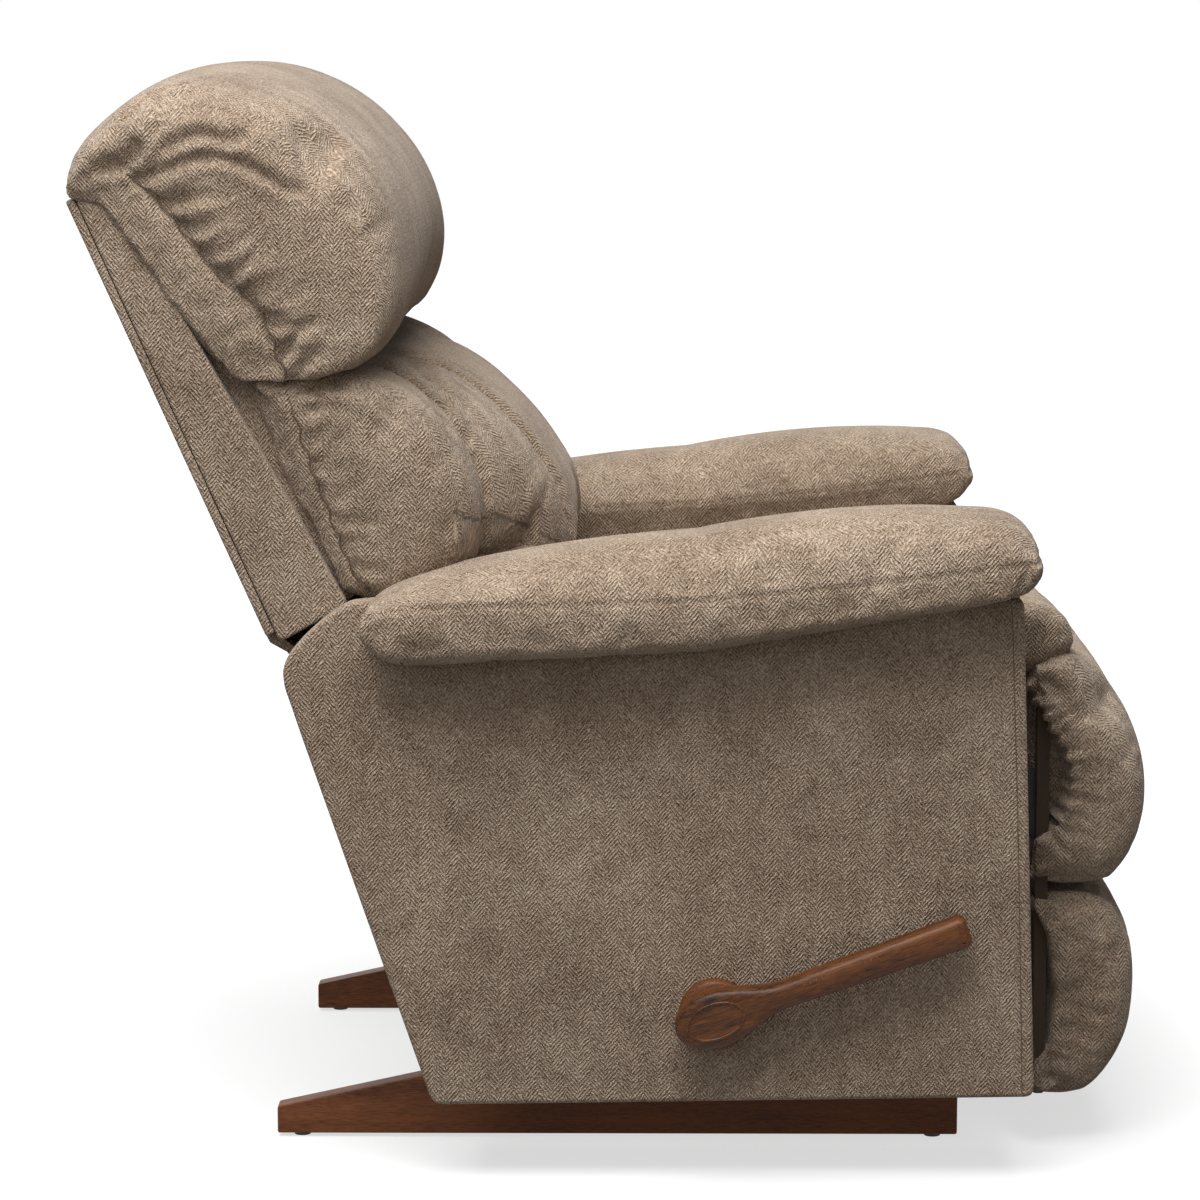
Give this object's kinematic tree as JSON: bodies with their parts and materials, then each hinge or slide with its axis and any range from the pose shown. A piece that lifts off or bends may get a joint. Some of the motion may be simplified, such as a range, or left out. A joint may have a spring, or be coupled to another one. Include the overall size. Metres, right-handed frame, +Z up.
{
  "type": "rocker recliner",
  "caption": "Upholstered rocker recliner on two wooden base rails, with a rocking body, a reclining back, a linked seat and a legrest worked by a wooden side handle.",
  "frame": {"origin": "on the floor under the middle of the chair's bounding box, legrest closed and back upright", "axes": "+Z up; the sitter faces -Y; +X is the sitter's left, so the release handle is on -X"},
  "size_m": [0.93, 1.0429, 1.0503],
  "materials": {
    "walnut": "dark walnut stain under a satin lacquer",
    "frame_wood": "plain sawn hardwood and ply",
    "upholstery": "taupe chenille in a herringbone weave",
    "webbing": "black elastic webbing",
    "black_steel": "black painted pressed steel",
    "zinc_steel": "zinc plated steel",
    "nylon": "dark nylon"
  },
  "bodies": {
    "base": {"rail_left": "walnut", "rail_right": "walnut", "base_slats": "frame_wood", "base_screws": "zinc_steel", "base_glides": "nylon", "lower_spring_brackets": "black_steel", "rocker_springs": "zinc_steel"},
    "frame": {"rocker_cam_left": "frame_wood", "rocker_cam_right": "frame_wood", "mechanism_plate_left": "black_steel", "mechanism_plate_right": "black_steel", "side_panel_left": "upholstery", "side_panel_right": "upholstery", "inner_panel_left": "frame_wood", "inner_panel_right": "frame_wood", "side_frame_left": "frame_wood", "side_frame_right": "frame_wood", "arm_front_left": "upholstery", "arm_front_right": "upholstery", "arm_pad_left": "upholstery", "arm_pad_right": "upholstery", "cross_rail_front": "frame_wood", "cross_rail_rear": "frame_wood", "upper_spring_brackets": "black_steel", "cam_bolts": "zinc_steel", "arm_screws": "zinc_steel", "mechanism_pins": "zinc_steel"},
    "drive": {"drive_rod": "black_steel", "rod_bushes": "nylon", "drive_cranks": "black_steel", "handle_boss": "walnut", "release_handle": "walnut", "handle_badge": "walnut", "handle_screw": "zinc_steel"},
    "push_links": {"drive_push_links": "black_steel"},
    "main_links": {"legrest_main_links": "black_steel"},
    "guide_links": {"legrest_guide_links": "black_steel"},
    "lift_links": {"legrest_lift_links": "black_steel"},
    "control_links": {"legrest_control_links": "black_steel"},
    "legrest": {"legrest_brackets": "black_steel", "legrest_board": "frame_wood", "leg_pad_upper": "upholstery", "leg_pad_lower": "upholstery"},
    "rear_seat_links": {"seat_links_rear": "black_steel"},
    "front_seat_links": {"seat_links_front": "black_steel"},
    "seat": {"seat_side_boards": "frame_wood", "seat_cross_boards": "frame_wood", "seat_webbing": "webbing", "seat_brackets": "black_steel", "seat_cushion": "upholstery"},
    "back": {"back_side_boards": "upholstery", "back_stiles": "frame_wood", "back_crest_rail": "frame_wood", "back_middle_rail": "frame_wood", "back_lower_rail": "frame_wood", "back_panel": "upholstery", "back_webbing": "webbing", "back_hinge_plates": "black_steel", "headrest_cushion": "upholstery", "lumbar_cushion": "upholstery"}
  },
  "joints": [
    {"name": "rock", "type": "hinge", "parent": "base", "child": "frame", "pos_m": [0, -0.0094, 0.071], "axis": [-1, 0, 0], "range_deg": [-4.5, 4.5], "stiffness_Nm_per_rad": 900, "deforming": ["rocker_springs"]},
    {"name": "handle_turn", "type": "hinge", "parent": "frame", "child": "drive", "pos_m": [0, -0.0919, 0.163], "axis": [-1, 0, 0], "range_deg": [0, 90]},
    {"name": "push_link_turn", "type": "hinge", "parent": "drive", "child": "push_links", "pos_m": [0, -0.06654, 0.10862], "axis": [-1, 0, 0], "range_deg": [-90, 0]},
    {"name": "legrest_arm_turn", "type": "hinge", "parent": "frame", "child": "main_links", "pos_m": [0, -0.3049, 0.27], "axis": [-1, 0, 0], "range_deg": [0, 90]},
    {"name": "legrest_guide_turn", "type": "hinge", "parent": "frame", "child": "guide_links", "pos_m": [0, -0.35742, 0.33035], "axis": [-1, 0, 0], "range_deg": [0, 90]},
    {"name": "lift_link_turn", "type": "hinge", "parent": "main_links", "child": "lift_links", "pos_m": [0, -0.22883, 0.10687], "axis": [-1, 0, 0], "range_deg": [-90, 0]},
    {"name": "control_link_turn", "type": "hinge", "parent": "main_links", "child": "control_links", "pos_m": [0, -0.22258, 0.14232], "axis": [-1, 0, 0], "range_deg": [-90, 0]},
    {"name": "legrest_turn", "type": "hinge", "parent": "lift_links", "child": "legrest", "pos_m": [0, -0.3969, 0.3], "axis": [-1, 0, 0], "range_deg": [0, 90]},
    {"name": "recline", "type": "hinge", "parent": "frame", "child": "back", "pos_m": [0, 0.2316, 0.48], "axis": [-1, 0, 0], "range_deg": [0, 28]},
    {"name": "rear_seat_link_turn", "type": "hinge", "parent": "frame", "child": "rear_seat_links", "pos_m": [0, -0.0137, 0.25571], "axis": [-1, 0, 0], "range_deg": [-28, 0]},
    {"name": "front_seat_link_turn", "type": "hinge", "parent": "frame", "child": "front_seat_links", "pos_m": [0, -0.2757, 0.25571], "axis": [-1, 0, 0], "range_deg": [-28, 0]},
    {"name": "seat_turn", "type": "hinge", "parent": "rear_seat_links", "child": "seat", "pos_m": [0, 0.0056, 0.323], "axis": [-1, 0, 0], "range_deg": [0, 28]}
  ],
  "couplings": [
    {"joint": "push_link_turn", "follows": "handle_turn", "ratio": -1},
    {"joint": "legrest_arm_turn", "follows": "handle_turn", "ratio": 1},
    {"joint": "legrest_guide_turn", "follows": "handle_turn", "ratio": 1},
    {"joint": "lift_link_turn", "follows": "handle_turn", "ratio": -1},
    {"joint": "control_link_turn", "follows": "handle_turn", "ratio": -1},
    {"joint": "legrest_turn", "follows": "handle_turn", "ratio": 1},
    {"joint": "rear_seat_link_turn", "follows": "recline", "ratio": -1},
    {"joint": "front_seat_link_turn", "follows": "recline", "ratio": -1},
    {"joint": "seat_turn", "follows": "recline", "ratio": 1}
  ]
}
